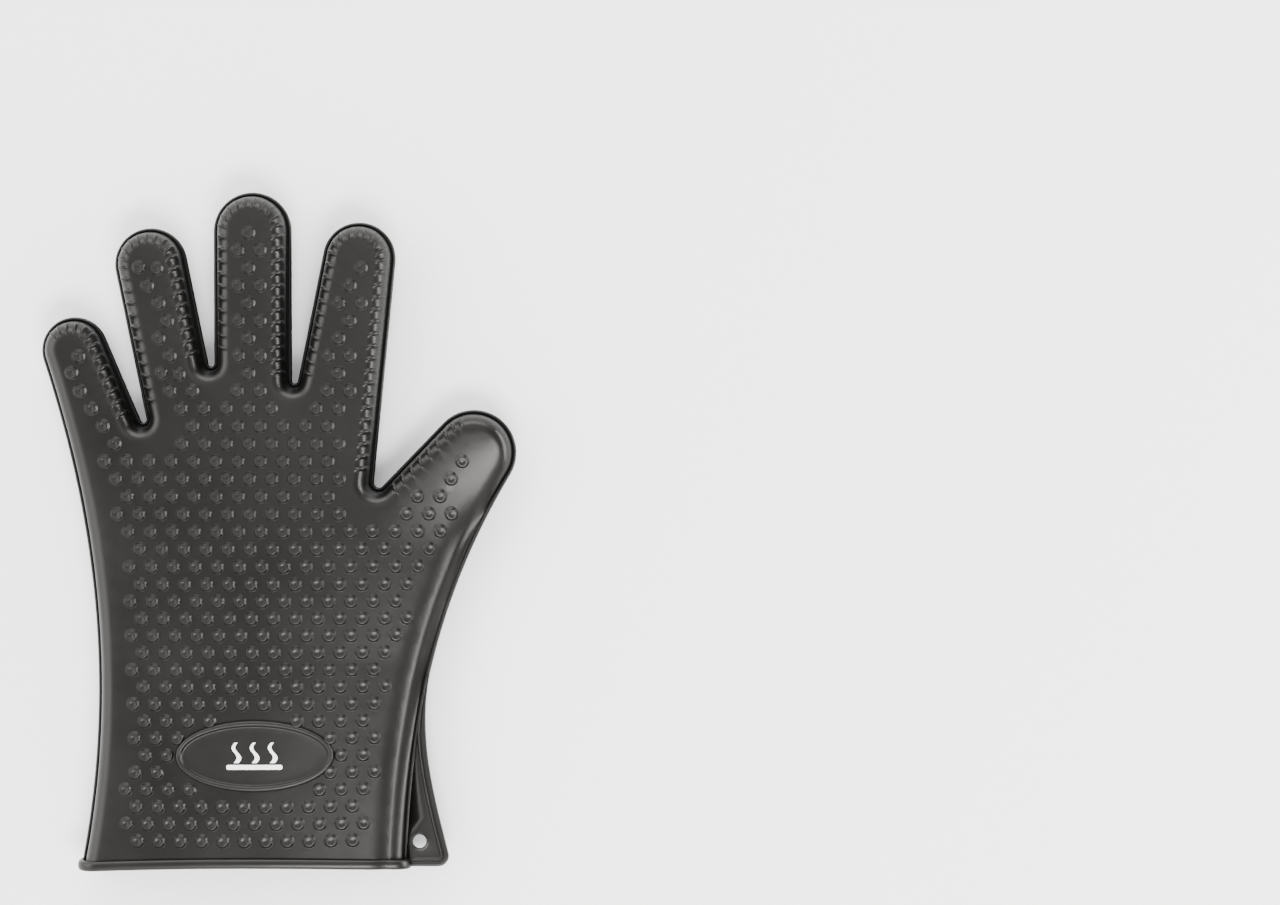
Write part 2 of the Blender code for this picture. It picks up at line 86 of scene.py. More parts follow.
FINGERS = {
    "pinky": ((-96.0, 85.6), 15.5),
    "ring": ((-60.2, 125.9), 17.0),
    "middle": ((-12.5, 141.4), 18.3),
    "index": ((37.6, 128.5), 17.1),
    "thumb": ((91.5, 37.5), 20.0),
}
CROTCHES = (
    ((-63.8, 53.0), 1.4),
    ((-31.9, 79.3), 1.4),
    ((7.4, 71.3), 1.4),
    ((46.9, 23.4), 2.4),
)
PINKY_SIDE_ANGLE = 198.0
THUMB_SIDE_ANGLE = -30.9
MOUTH_Y = -152.8
MOUTH_BOW = 2.0
LEFT_CORNER, LEFT_LEAN, LEFT_HANDLES = (-92.2, MOUTH_Y), 10.6, (80.8, 81.7)
RIGHT_CORNER, RIGHT_LEAN, RIGHT_HANDLES = (60.3, MOUTH_Y), 2.1, (64.5, 69.7)
UNDER_LIP = 2.6            # how far the skin runs on inside the lip

# Where each finger is cut and where it bends, as distances behind the tip's centre
KNUCKLE_BEND = {"pinky": (41.0, 25.7), "ring": (50.5, 33.3), "middle": (61.5, 44.3),
                "index": (59.0, 41.8), "thumb": (36.5, 24.4)}
MIDDLE_BEND = {"pinky": (22.0, 6.6), "ring": (26.0, 5.4), "middle": (32.0, 11.4),
               "index": (30.0, 9.4), "thumb": (20.0, 6.0)}

# ---------------------------------------------------------------- the skin's detail

WALL = 1.7
SHOULDER_START, SHOULDER_END = 1.9, 9.3
ROUNDNESS = 2.2            # exponent of the shoulder's superellipse
FLANGE = ((0.0, 0.3), (0.15, 0.8), (0.5, 1.25), (0.9, 1.4), (1.25, 1.25), (1.55, 0.95), (1.78, 0.8))
SHOULDER_TURNS = (0.05, 0.12, 0.22, 0.33, 0.45, 0.58, 0.72, 0.86, 1.0, 1.14, 1.28, 1.42,
                  math.pi / 2)
CAVITY_TURNS = (0.0, 0.35, 0.8, 1.2, math.pi / 2)
CAVITY_START, CAVITY_END = 3.6, 10.5

RIB_PITCH = 5.75
RIB_WIDTH, RIB_TOP = 2.5, 0.4       # across a rib's foot and its crest
RIB_HEIGHT = 1.0
RIB_SPACE = 0.3            # plain skin between a rib's foot and the next sampled place
RIB_RISE, RIB_SINK = (0.4, 0.85), (1.2, 1.5)       # turns of the shoulder where a rib starts and ends
RIB_HOOK = 1.6             # how far a rib's inner end turns towards the palm
HOOK_FROM, HOOK_FADE = 4.5, 8.0     # depth where the turn starts, and outline over which it fades
RIB_STATIONS = (-1.25, -0.95, -0.65, -0.4, -0.15, 0.15, 0.4, 0.65, 0.95, 1.25)
# Finger, side (-1 left, +1 right), first rib and how many at most, counted from the fingertip
RIBBED = (("pinky", -1, 0, 2), ("pinky", 1, 0, 99), ("ring", -1, 0, 99), ("ring", 1, 0, 99),
          ("middle", -1, 0, 99), ("middle", 1, 0, 99), ("index", -1, 0, 99),
          ("index", 1, 0, 99), ("thumb", -1, 3, 99))
RIB_CLEAR = 3.0            # smooth outline left before each crotch

DOT_ACROSS, DOT_UP = 10.47, 8.19
DOT_ROWS, DOT_COLUMNS = range(-26, 12), np.arange(-10, 14)
DOT_ORIGIN = (-12.76, 58.0)
DOT_UP_CUFF, CUFF_ROWS_FROM = 7.95, -10
DOT_TAPER, DOT_TAPER_CENTRE = 0.0455 / 195.5, 64.3
DOT_PROFILE = ((3.55, 0.0), (3.42, 0.0), (3.3, 0.08), (2.5, 1.3), (2.35, 1.44), (2.15, 1.5),
               (1.5, 1.5), (1.28, 1.38))
DOT_RADIUS, DOT_MIDDLE = DOT_PROFILE[0][0], 1.38
DOT_HIGHLIGHT_HEIGHT, DOT_MIDDLE_HIGHLIGHT = 0.85, 0.4      # height at which a dot's crest gets the full painted highlight, and its middle's share
DOT_SIDES = 14
DOT_TIP_LIMIT = 1.5        # no dot lies further than this beyond a fingertip's centre
DOT_CROTCH = (15.5, 13.3, 15.5, 15.5)      # smooth skin round each crotch's centre
# Places of the lattice that stay smooth, as the columns in a row, both counted from the origin
DOT_GAPS = {5: (-5,), 4: (5,), 1: (-2,), -1: (4,), -2: (-7,), -3: (8, 10), -4: (8, 10),
            -5: (-7, 9), -6: (5, 6), -21: (-4,), -22: (-2, 2)}
DOT_MARGIN, DOT_MARGIN_BELOW = 16.4, 5.0   # wider smooth edges beside the palm and the cuff
DOT_MOUTH, DOT_BADGE = 8.5, 1.5            # smooth skin above the mouth and round the badge
DOT_CLEAR = 0.15           # flat left between a dot and the shoulder
DOT_PUSH = 1.6             # a dot this much too near the edge is moved inwards, others are left out

FILL = 5.2                 # spacing of the points between the dots
MOUTH_STEP, HOLLOW_MOUTH_STEP = 3.0, 6.0   # spacing of the points along the mouth
HOLLOW_LONGER = 0.2        # how much further down than the outside the hollow's wall runs


def smooth(low, high, value):
    t = np.clip((value - low) / (high - low), 0.0, 1.0)
    return t * t * (3.0 - 2.0 * t)


def signed_power(value, power):
    return np.sign(value) * np.abs(value) ** power


def level(values, last=0.0):
    """Rows of values that all end in the same last one."""
    return np.column_stack([values, np.full(len(values), float(last))])


def directions(count, way=1):
    """Directions evenly round a circle, anticlockwise, or clockwise where way is -1."""
    angles = way * 2 * np.pi * np.arange(count) / count
    return np.column_stack([np.cos(angles), np.sin(angles)])


def unit(radians):
    return np.array([math.cos(radians), math.sin(radians)])


def on_circle(circle, radians):
    return np.array(circle[0]) + circle[1] * unit(radians)


def turned(normal):
    """Direction of travel, clockwise round the glove, where the outline faces normal."""
    return np.stack([normal[..., 1], -normal[..., 0]], -1)


# ---------------------------------------------------------------- outline


class Path:
    """The outline from the mouth's left corner clockwise to its right corner."""

    def __init__(self):
        self.parts = []
        self.length = 0.0

    def add(self, length, place, step):
        self.parts.append((self.length, length, place, step))
        self.length += length

    def line(self, start, end, step=1.4):
        along = (end - start) / np.linalg.norm(end - start)
        normal = np.array([-along[1], along[0]])
        self.add(np.linalg.norm(end - start),
                 lambda t: (start + t * (end - start), normal), step)

    def arc(self, circle, angle_in, angle_out):
        turn = (angle_out - angle_in) % (2 * math.pi) - (2 * math.pi if circle[1] > 0 else 0.0)
        length = abs(circle[1] * turn)
        self.add(length, lambda t: (on_circle(circle, angle_in + turn * t),
                                    unit(angle_in + turn * t)),
                 1.3 if circle[1] > 0 else length / 14)

    def curve(self, start, start_handle, end_handle, end):
        def place(t):
            s = 1.0 - t
            point = (s ** 3 * start + 3 * s * s * t * start_handle
                     + 3 * s * t * t * end_handle + t ** 3 * end)
            along = (s * s * (start_handle - start) + 2 * s * t * (end_handle - start_handle)
                     + t * t * (end - end_handle))
            along = along / np.linalg.norm(along)
            return point, np.array([-along[1], along[0]])
        steps = [place(t)[0] for t in np.linspace(0, 1, 200)]
        self.add(np.linalg.norm(np.diff(steps, axis=0), axis=1).sum(), place, 1.5)

    def at(self, distance):
        for start, length, place, _ in self.parts:
            if distance <= start + length or start + length >= self.length - 1e-9:
                return place(min(1.0, max(0.0, (distance - start) / length)))


def make_path():
    """The path, each fingertip's distance along it, and where each crotch starts and ends."""
    circles = []
    for finger, crotch in zip(FINGERS.values(), CROTCHES + (None,)):
        circles.append(finger)
        if crotch:
            circles.append((crotch[0], -crotch[1]))
    angles = [math.radians(PINKY_SIDE_ANGLE)]
    for a, b in zip(circles, circles[1:]):
        reach = np.array(b[0]) - np.array(a[0])
        lean = math.acos((a[1] - b[1]) / np.linalg.norm(reach))
        angles.append(math.atan2(reach[1], reach[0]) + lean)
    angles.append(math.radians(THUMB_SIDE_ANGLE))

    path, tips, crotches = Path(), [], []
    left, right = np.array(LEFT_CORNER), np.array(RIGHT_CORNER)
    rise = unit(math.radians(90 - LEFT_LEAN))
    fall = unit(math.radians(-90 - RIGHT_LEAN))
    first = on_circle(circles[0], angles[0])
    path.line(left - UNDER_LIP * rise, left)
    path.curve(left, left + LEFT_HANDLES[0] * rise,
               first - LEFT_HANDLES[1] * turned(unit(angles[0])), first)
    for i, circle in enumerate(circles):
        if i:
            path.line(on_circle(circles[i - 1], angles[i]), on_circle(circle, angles[i]))
        start = path.length
        path.arc(circle, angles[i], angles[i + 1])
        if circle[1] > 0:
            tips.append((start + path.length) / 2)
        else:
            crotches.append((start, path.length))
    last = on_circle(circles[-1], angles[-1])
    path.curve(last, last + RIGHT_HANDLES[0] * turned(unit(angles[-1])),
               right - RIGHT_HANDLES[1] * fall, right)
    path.line(right, right + UNDER_LIP * fall)
    return path, tips, crotches


PATH, TIPS, CROTCH_SPANS = make_path()
NAMES = list(FINGERS)


def finger_direction(index):
    base, tip = PIVOTS[NAMES[index] + "_base"], PIVOTS[NAMES[index] + "_tip"]
    return (tip - base) / np.linalg.norm(tip - base)


def strip_of(index, points):
    """Which points lie between the gaps on both sides of a finger."""
    inside = np.ones(len(points), bool)
    for gap, sign in ((index - 1, 1.0), (index, -1.0)):
        if 0 <= gap < len(CROTCHES):
            along = finger_direction(gap) + finger_direction(gap + 1)
            right = np.array([along[1], -along[0]])
            inside &= sign * ((points[:, :2] - np.array(CROTCHES[gap][0])) @ right) > 0
    return inside


def rib_places():
    places = []
    for name, side, first, most in RIBBED:
        i = NAMES.index(name)
        for k in range(first, first + most):
            place = TIPS[i] + side * (k + 0.5) * RIB_PITCH
            if side > 0 and place > CROTCH_SPANS[i][0] - RIB_CLEAR:
                break
            if side < 0 and i and place < CROTCH_SPANS[i - 1][1] + RIB_CLEAR:
                break
            places.append(place)
    return np.sort(places)


def make_stations():
    """Distances along the outline at which the skin is sampled, and the rib height at each."""
    ribs = rib_places()
    plain = []
    for start, length, _, step in PATH.parts:
        plain += list(np.linspace(start, start + length, max(2, math.ceil(length / step)) + 1))
    plain = np.unique(np.round(plain, 4))
    plain = plain[np.abs(plain[:, None] - ribs[None, :]).min(1) > RIB_STATIONS[-1] + RIB_SPACE]
    stations = np.concatenate([plain, (ribs[:, None] + np.array(RIB_STATIONS)).ravel()])
    stations = np.sort(stations)
    off = np.abs(stations[:, None] - ribs[None, :]).min(1)
    bump = 1.0 - smooth(RIB_TOP / 2, RIB_WIDTH / 2, off)
    return stations, bump


STATIONS, BUMP = make_stations()
POINTS, NORMALS = (np.array(v) for v in zip(*(PATH.at(s) for s in STATIONS)))
TRAVEL = turned(NORMALS)


def hook_share():
    """How far along the outline's travel a rib's inner end turns, -1 to 1, at each station."""
    share = np.zeros(len(STATIONS))
    for i, name in enumerate(NAMES):
        low = CROTCH_SPANS[i - 1][1] if i else TIPS[i] - 1.0
        high = CROTCH_SPANS[i][0] if i < len(CROTCH_SPANS) else TIPS[i] + 1.0
        here = (STATIONS >= low) & (STATIONS <= high)
        from_tip = (STATIONS - TIPS[i]) / FINGERS[name][1]
        turn = np.sign(from_tip) * smooth(0.0, 1.2, np.abs(from_tip))
        fade = smooth(0.0, HOOK_FADE, STATIONS - low) * smooth(0.0, HOOK_FADE, high - STATIONS)
        share = np.where(here, turn * fade, share)
    return share


HOOK = hook_share()

# ---------------------------------------------------------------- faces

# The front swells over the cuff and palm, most along a line that leans right above the cuff
CROWN_HEIGHT, CROWN_X = 3.2, -20.0
CROWN_LEAN, CROWN_LEAN_FROM = 0.2, -60.0
CROWN_LEFT_FALL, CROWN_LEFT_REACH = 3.0, 65.0
CROWN_RIGHT_FALL, CROWN_RIGHT_REACH, CROWN_RIGHT_POWER = 7.0, 72.0, 2.4
CROWN_FADE = (-10.0, 62.0)
# and it falls away beside its right-hand edge
EDGE_SPAN, EDGE_FALL, EDGE_FALL_LIMIT = 16.5, 1.7, 1.3
EDGE_FADE = (-10.0, 25.0)


def right_edge():
    """The outline's right-hand side up to the thumb, as rising y and the x at each."""
    side = np.array([PATH.at(s)[0] for s in np.linspace(0, PATH.length, 2000)])
    side = side[(side[:, 0] > 20.0) & (side[:, 1] < 30.0)]
    side = side[np.argsort(side[:, 1])]
    return side[:, 1], side[:, 0]


RIGHT_EDGE = right_edge()


def face_height(xy, side):
    """Height of the front (+1) or back (-1) face over the parting plane."""
    x, y = xy[..., 0], xy[..., 1]
    if side < 0:
        return np.full(x.shape, HALF)
    across = x - CROWN_LEAN * np.maximum(0.0, y - CROWN_LEAN_FROM) - CROWN_X
    left = np.minimum(0.0, across) / CROWN_LEFT_REACH
    right = np.maximum(0.0, across) / CROWN_RIGHT_REACH
    crown = CROWN_HEIGHT - CROWN_LEFT_FALL * left ** 2 - CROWN_RIGHT_FALL * right ** CROWN_RIGHT_POWER
    beside = np.interp(y, *RIGHT_EDGE) - x
    fall = (EDGE_SPAN - beside) / (EDGE_SPAN - SHOULDER_END)
    fall = np.clip(fall, 0.0, EDGE_FALL_LIMIT) ** 2
    return (HALF + crown * (1.0 - smooth(*CROWN_FADE, y))
            - EDGE_FALL * fall * (1.0 - smooth(*EDGE_FADE, y)))


def on_skin(xy, side, rise=0.0):
    """Points over the parting plane, this much above a face."""
    return np.column_stack([xy, face_height(xy, side) + rise])


def face_normal(xy, side):
    step = 0.05
    slope = [(face_height(xy + step * e, side) - face_height(xy - step * e, side)) / (2 * step)
             for e in np.eye(2)]
    normal = np.stack([-slope[0], -slope[1], np.ones(len(xy))], -1)
    return normal / np.linalg.norm(normal, axis=1, keepdims=True)


def shoulder(turn, start, end):
    """Depth, height share and outward normal of the shoulder's superellipse."""
    reach = end - start
    depth = end - reach * max(0.0, math.cos(turn)) ** (2 / ROUNDNESS)
    height = math.sin(turn) ** (2 / ROUNDNESS)
    out = ((end - depth) / reach) ** (ROUNDNESS - 1) / reach
    up = height ** (ROUNDNESS - 1) / HALF
    size = math.hypot(out, up)
    return depth, height, out / size, up / size


def outer_rings(side):
    """Rings of skin points from the parting plane to the face, and how proud each point is."""
    rings = []
    for depth, height in FLANGE:
        rings.append((level(POINTS - depth * NORMALS, height), np.zeros(len(POINTS))))
    for turn in SHOULDER_TURNS:
        depth, height, out, up = shoulder(turn, SHOULDER_START, SHOULDER_END)
        # A rib's crest is proud, and the silicone paints it lighter as a highlight.
        proud = BUMP * smooth(*RIB_RISE, turn) * (1.0 - smooth(*RIB_SINK, turn))
        shift = RIB_HOOK * smooth(HOOK_FROM, SHOULDER_END, depth) * HOOK
        xy = POINTS - depth * NORMALS + TRAVEL * shift[:, None]
        z = face_height(xy, side) * height
        xy = xy + NORMALS * (RIB_HEIGHT * proud * out)[:, None]
        z = z + RIB_HEIGHT * proud * up
        rings.append((np.column_stack([xy, z]), proud))
    return rings


def near(points, others):
    """Distance from each point to the nearest of the others."""
    tree = kdtree.KDTree(len(others))
    for i, p in enumerate(others):
        tree.insert((p[0], p[1], 0.0), i)
    tree.balance()
    return np.array([tree.find((p[0], p[1], 0.0))[2] for p in points])


def within(points, polygon):
    """Which points lie inside a polygon."""
    inside = np.zeros(len(points), bool)
    a, b = polygon, np.roll(polygon, -1, 0)
    for (x0, y0), (x1, y1) in zip(a, b):
        if y0 != y1:
            spans = (y0 > points[:, 1]) != (y1 > points[:, 1])
            inside ^= spans & (points[:, 0] < x0 + (points[:, 1] - y0) * (x1 - x0) / (y1 - y0))
    return inside


OUTLINE_FINE = np.array([PATH.at(s)[0] for s in np.linspace(0, PATH.length, 4000)])


def in_badge(points, grow):
    return (((points - BADGE_CENTRE) / (BADGE_HALF + grow)) ** 2).sum(1) < 1.0


def dot_places():
    """Centres of the grip dots: one hexagonal lattice over the glove, less its smooth places."""
    rows = []
    for row in DOT_ROWS:
        y = DOT_ORIGIN[1] + row * DOT_UP
        if row < CUFF_ROWS_FROM:
            y = (DOT_ORIGIN[1] + CUFF_ROWS_FROM * DOT_UP
                 + (row - CUFF_ROWS_FROM) * DOT_UP_CUFF)
        columns = np.setdiff1d(DOT_COLUMNS, DOT_GAPS.get(row, ()))
        x = DOT_ORIGIN[0] + DOT_ACROSS * (columns + 0.5 * (row % 2))
        squeeze = 1.0 - DOT_TAPER * max(0.0, DOT_ORIGIN[1] - y)
        x = DOT_TAPER_CENTRE + (x - DOT_TAPER_CENTRE) * squeeze
        rows.append(level(x, y))
    dots = np.concatenate(rows)
    dots = dots[within(dots, OUTLINE_FINE)]
    need = SHOULDER_END + DOT_RADIUS + DOT_CLEAR
    kept = []
    for dot, depth in zip(dots, near(dots, OUTLINE_FINE)):
        if depth < need - DOT_PUSH:
            continue
        for _ in range(4):
            away = dot - OUTLINE_FINE[np.argmin(((OUTLINE_FINE - dot) ** 2).sum(1))]
            gap = np.linalg.norm(away)
            if gap < need:
                dot = dot + away / gap * (need - gap)
        if near([dot], OUTLINE_FINE)[0] >= need - 0.05:
            kept.append(dot)
    kept = np.array(kept)
    for i, (centre, _) in enumerate(FINGERS.values()):
        beyond = (kept - np.array(centre)) @ finger_direction(i)
        kept = kept[~(strip_of(i, kept) & (beyond > DOT_TIP_LIMIT))]
    for (centre, _), clear in zip(CROTCHES, DOT_CROTCH):
        kept = kept[near(kept, [centre]) > clear]
    kept = kept[(near(kept, OUTLINE_FINE) > DOT_MARGIN) | (kept[:, 1] > DOT_MARGIN_BELOW)]
    kept = kept[kept[:, 1] > MOUTH_Y + DOT_MOUTH]
    return kept[~in_badge(kept, DOT_BADGE)]


DOTS = dot_places()
DOT_AROUND = directions(DOT_SIDES)


def mouth_line(step):
    """Points of the mouth's edge, from right to left, a little inside the lip."""
    right = POINTS[-1] - SHOULDER_END * NORMALS[-1]
    left = POINTS[0] - SHOULDER_END * NORMALS[0]
    count = int((right[0] - left[0]) / step)
    share = np.arange(1, count) / count
    line = right + share[:, None] * (left - right)
    line[:, 1] += 4 * MOUTH_BOW * share * (1 - share)
    return line


def triangulate(outer, holes, loose):
    """Triangles over the region inside outer and outside the holes, through all the points."""
    points = np.concatenate([outer, *holes, loose])
    edges, first = [], 0
    for loop in [outer, *holes]:
        n = len(loop)
        edges += [(first + i, first + (i + 1) % n) for i in range(n)]
        first += n
    made = delaunay_2d_cdt([Vector(p) for p in points], edges, [], 0, 1e-5)
    verts, faces, back = np.array([tuple(v) for v in made[0]]), np.array(made[2]), made[3]
    if len(verts) != len(points):
        raise ValueError("the triangulation merged or added points")
    order = np.array([b[0] for b in back])
    faces = order[faces]
    a, b, c = (points[faces[:, k]] for k in range(3))
    clockwise = np.cross(b - a, c - a) < 0
    faces[clockwise] = faces[clockwise][:, ::-1]
    middles = points[faces].mean(1)
    keep = within(middles, outer)
    for hole in holes:
        centre = hole.mean(0)
        close = np.linalg.norm(middles - centre, axis=1) < np.linalg.norm(
            hole - centre, axis=1).max() + 0.1
        keep[close] &= ~within(middles[close], hole)
    return points, faces[keep]


def loose_points(boundary, clear):
    """Points in even triangles inside a boundary, none nearer to it than clear."""
    low, high = boundary.min(0), boundary.max(0)
    rows = []
    for j, y in enumerate(np.arange(low[1], high[1], FILL * 0.866)):
        x = np.arange(low[0], high[0], FILL) + (j % 2) * FILL / 2
        rows.append(level(x, y))
    loose = np.concatenate(rows)
    loose = loose[within(loose, boundary)]
    return loose[near(loose, boundary) > clear]


class Mesh:
    """Points, triangles and a proud share for each point, gathered piece by piece.

    While side is -1, whatever is added is turned over, to lie behind the parting plane.
    """

    def __init__(self):
        self.points, self.faces, self.proud, self.count, self.side = [], [], [], 0, 1

    def add(self, points, proud=0.0):
        start = self.count
        self.points.append(points * np.array([1.0, 1.0, self.side]))
        self.proud.append(np.broadcast_to(np.asarray(proud, float), (len(points),)))
        self.count += len(points)
        return np.arange(start, self.count)

    def patch(self, faces):
        self.faces.append(faces[:, ::self.side])

    def strip(self, low, high, closed=False):
        """Quads, as triangles, between two rows of point numbers."""
        if closed:
            low, high = np.append(low, low[0]), np.append(high, high[0])
        a, b, c, d = low[:-1], low[1:], high[1:], high[:-1]
        self.patch(np.column_stack([a, b, c]))
        self.patch(np.column_stack([a, c, d]))

    def fan(self, ring, centre):
        """Triangles from a closed ring of point numbers to one point."""
        self.patch(np.column_stack([ring, np.roll(ring, -1), np.full(len(ring), centre[0])]))

    def arrays(self):
        return (np.concatenate(self.points), np.concatenate(self.faces),
                np.concatenate(self.proud))


def chained_loops(faces):
    """The open edges of a set of triangles, as loops of point numbers."""
    edges = np.concatenate([faces[:, [0, 1]], faces[:, [1, 2]], faces[:, [2, 0]]])
    key = np.sort(edges, 1)
    _, where, times = np.unique(key, axis=0, return_index=True, return_counts=True)
    following = {int(a): int(b) for a, b in edges[where[times == 1]]}
    loops = []
    while following:
        start, at = following.popitem()
        loop = [start]
        while at != start:
            loop.append(at)
            at = following.pop(at)
        loops.append(loop)
    return loops


def add_dot(mesh, dot, base, side):
    """One grip dot, raised from its base ring along the face's normal."""
    centre = dot[None, :]
    up = face_normal(centre, side)
    for radius, height in DOT_PROFILE[1:]:
        ring = mesh.add(on_skin(dot + radius * DOT_AROUND, side) + height * up,
                        min(1.0, height / DOT_HIGHLIGHT_HEIGHT))
        mesh.strip(base, ring, closed=True)
        base = ring
    mesh.fan(base, mesh.add(on_skin(centre, side) + DOT_MIDDLE * up, DOT_MIDDLE_HIGHLIGHT))


def add_outside(mesh):
    """The skin's outside: the flange, the shoulders and the two faces with their dots."""
    rim = mesh.add(level(POINTS))
    mouth = mouth_line(MOUTH_STEP)
    boundary = np.concatenate([POINTS - SHOULDER_END * NORMALS
                               + TRAVEL * (RIB_HOOK * HOOK)[:, None], mouth])
    circles = [dot + DOT_RADIUS * DOT_AROUND for dot in DOTS]
    loose = loose_points(boundary, 0.35 * FILL)
    loose = loose[near(loose, DOTS) > DOT_RADIUS + 0.25 * FILL]
    flat, faces = triangulate(boundary, circles, loose)
    first_circle = len(POINTS) + len(mouth)
    for side in (1, -1):
        mesh.side = side
        low = rim
        for points, proud in outer_rings(side):
            high = mesh.add(points, proud)
            mesh.strip(high, low)
            low = high
        number = np.concatenate([low, mesh.add(on_skin(flat[len(POINTS):], side))])
        mesh.patch(number[faces])
        for i, dot in enumerate(DOTS):
            start = first_circle + i * DOT_SIDES
            add_dot(mesh, dot, number[start:start + DOT_SIDES], side)


def add_hollow(mesh):
    """The wall of the hollow for the hand, which follows every fourth place on the outline."""
    picked = np.unique(np.append(np.arange(0, len(POINTS), 4), len(POINTS) - 1))
    points, normals = POINTS[picked], NORMALS[picked]
    mouth = mouth_line(HOLLOW_MOUTH_STEP) - np.array([0.0, HOLLOW_LONGER])
    boundary = np.concatenate([points - CAVITY_END * normals, mouth])
    flat, faces = triangulate(boundary, [], loose_points(boundary, 0.5 * FILL))
    rim = mesh.add(level(points - CAVITY_START * normals))
    for side in (1, -1):
        mesh.side = side
        low = rim
        for bend in CAVITY_TURNS[1:]:
            depth, height, _, _ = shoulder(bend, CAVITY_START, CAVITY_END)
            xy = points - depth * normals
            high = mesh.add(on_skin(xy, side, -WALL) * np.array([1.0, 1.0, height]))
            mesh.strip(low, high)
            low = high
        added = mesh.add(on_skin(flat[len(points):], side, -WALL))
        mesh.patch(np.concatenate([low, added])[faces][:, ::-1])


def make_skin():
    """The whole glove's skin, outside and inside, as points, outward triangles and proudness."""
    mesh = Mesh()
    add_outside(mesh)
    add_hollow(mesh)
    points, faces, proud = mesh.arrays()
    faces = np.concatenate([faces, capped(points, chained_loops(faces), np.array([0, 1.0, 0]))])
    return points, faces, proud


def capped(points, loops, normal):
    """Triangles that close the flat region between loops, square to normal.

    The winding follows the loops' own, so that the closed body is consistent.
    """
    if abs(normal[1]) > 0.999:
        flat = points[:, (0, 2)]
    else:
        flat = np.column_stack([points[:, :2] @ np.array([-normal[1], normal[0]]), points[:, 2]])
    loops = sorted(loops, key=lambda loop: -np.ptp(flat[loop][:, 0]))
    number = np.concatenate([np.array(loop) for loop in loops])
    made = tessellate_polygon([[Vector((*flat[i], 0.0)) for i in loop] for loop in loops])
    faces = number[np.array(made)]
    used = set()
    for loop in loops:
        used |= set(zip(loop, loop[1:] + loop[:1]))
    same = sum((int(a), int(b)) in used for f in faces for a, b in
               ((f[0], f[1]), (f[1], f[2]), (f[2], f[0])))
    return faces[:, ::-1] if same else faces


# ---------------------------------------------------------------- cutting the skin


class Cut:
    """A plane across one finger, this far behind the centre of its tip.

    Points beyond it, towards the tip, have a positive side.
    """

    def __init__(self, index, distance):
        self.distance = distance
        self.direction = finger_direction(index)
        self.point = np.array(FINGERS[NAMES[index]][0]) - distance * self.direction
        self.normal = np.array([*self.direction, 0.0])

    def side(self, points):
        return (points[..., :2] - self.point) @ self.direction

    def place(self, distance):
        """Where the plane moved this far towards the tip meets the finger's middle, in metres."""
        xy = self.point + distance * self.direction
        return np.array([xy[0], xy[1], MID_Z]) * MM


def split(points, normals, proud, faces, cut, index):
    """Cuts the triangles of one finger along a plane. New points are added at the end."""
    side = cut.side(points)
    side[np.abs(side) < 1e-3] = 0.0
    here = strip_of(index, points[faces].mean(1))
    crossed = here & (side[faces].min(1) < 0) & (side[faces].max(1) > 0)
    added, made, new_faces = [], {}, []

    def between(a, b):
        key = (min(a, b), max(a, b))
        if key not in made:
            share = side[key[0]] / (side[key[0]] - side[key[1]])
            made[key] = len(points) + len(added)
            added.append((key[0], key[1], share))
        return made[key]

    for face in faces[crossed]:
        for sign in (1, -1):
            corners = []
            for a, b in zip(face, np.roll(face, -1)):
                a, b = int(a), int(b)
                if sign * side[a] >= 0:
                    corners.append(a)
                if side[a] * side[b] < 0:
                    corners.append(between(a, b))
            new_faces += [(corners[0], corners[k], corners[k + 1])
                          for k in range(1, len(corners) - 1)]
    low, high, share = (np.array(v) for v in zip(*added))
    share = share[:, None]
    blended = [v[low] * (1 - share) + v[high] * share for v in (points, normals)]
    blended[1] /= np.linalg.norm(blended[1], axis=1, keepdims=True)
    share = share[:, 0]
    return (np.concatenate([points, blended[0]]), np.concatenate([normals, blended[1]]),
            np.concatenate([proud, proud[low] * (1 - share) + proud[high] * share]),
            np.concatenate([faces[~crossed], np.array(new_faces)]))


# ---------------------------------------------------------------- pieces


def new_object(name, data):
    obj = bpy.data.objects.new(name, data)
    bpy.context.scene.collection.objects.link(obj)
    return obj


def object_of(mesh, material):
    mesh.materials.append(material)
    obj = new_object(mesh.name, mesh)
    return obj


def mesh_of(name, points, faces, proud=None):
    """A smooth Blender mesh, in metres and in the row frame, facing outwards."""
    a, b, c = (points[faces[:, k]] for k in range(3))
    if (a * np.cross(b, c)).sum() < 0:
        faces = faces[:, ::-1]
    mesh = bpy.data.meshes.new(name)
    placed = (points + np.array([0.0, 0.0, MID_Z])) * MM
    mesh.from_pydata(placed.tolist(), [], faces.tolist())
    mesh.shade_smooth()
    if proud is not None:
        mesh.attributes.new("proud", "FLOAT", "POINT").data.foreach_set(
            "value", proud.astype(np.float32))
    mesh.update()
    return mesh


def vertex_normals(points, faces):
    mesh = mesh_of("whole", points, faces)
    normals = np.zeros(len(points) * 3, np.float32)
    mesh.vertex_normals.foreach_get("vector", normals)
    bpy.data.meshes.remove(mesh)
    return normals.reshape(-1, 3).astype(float)


def skin_normals(points, faces):
    """The skin's normals, which don't round the mouth's edge off, since the lip hides it."""
    normals = vertex_normals(points, faces)
    at_mouth = points[:, 1] < MOUTH_Y + MOUTH_BOW + 0.5
    rounded_off = at_mouth & (normals[:, 1] < -0.1) & (normals[:, 1] > -0.95)
    normals[rounded_off, 1] = 0.0
    return normals / np.linalg.norm(normals, axis=1, keepdims=True)


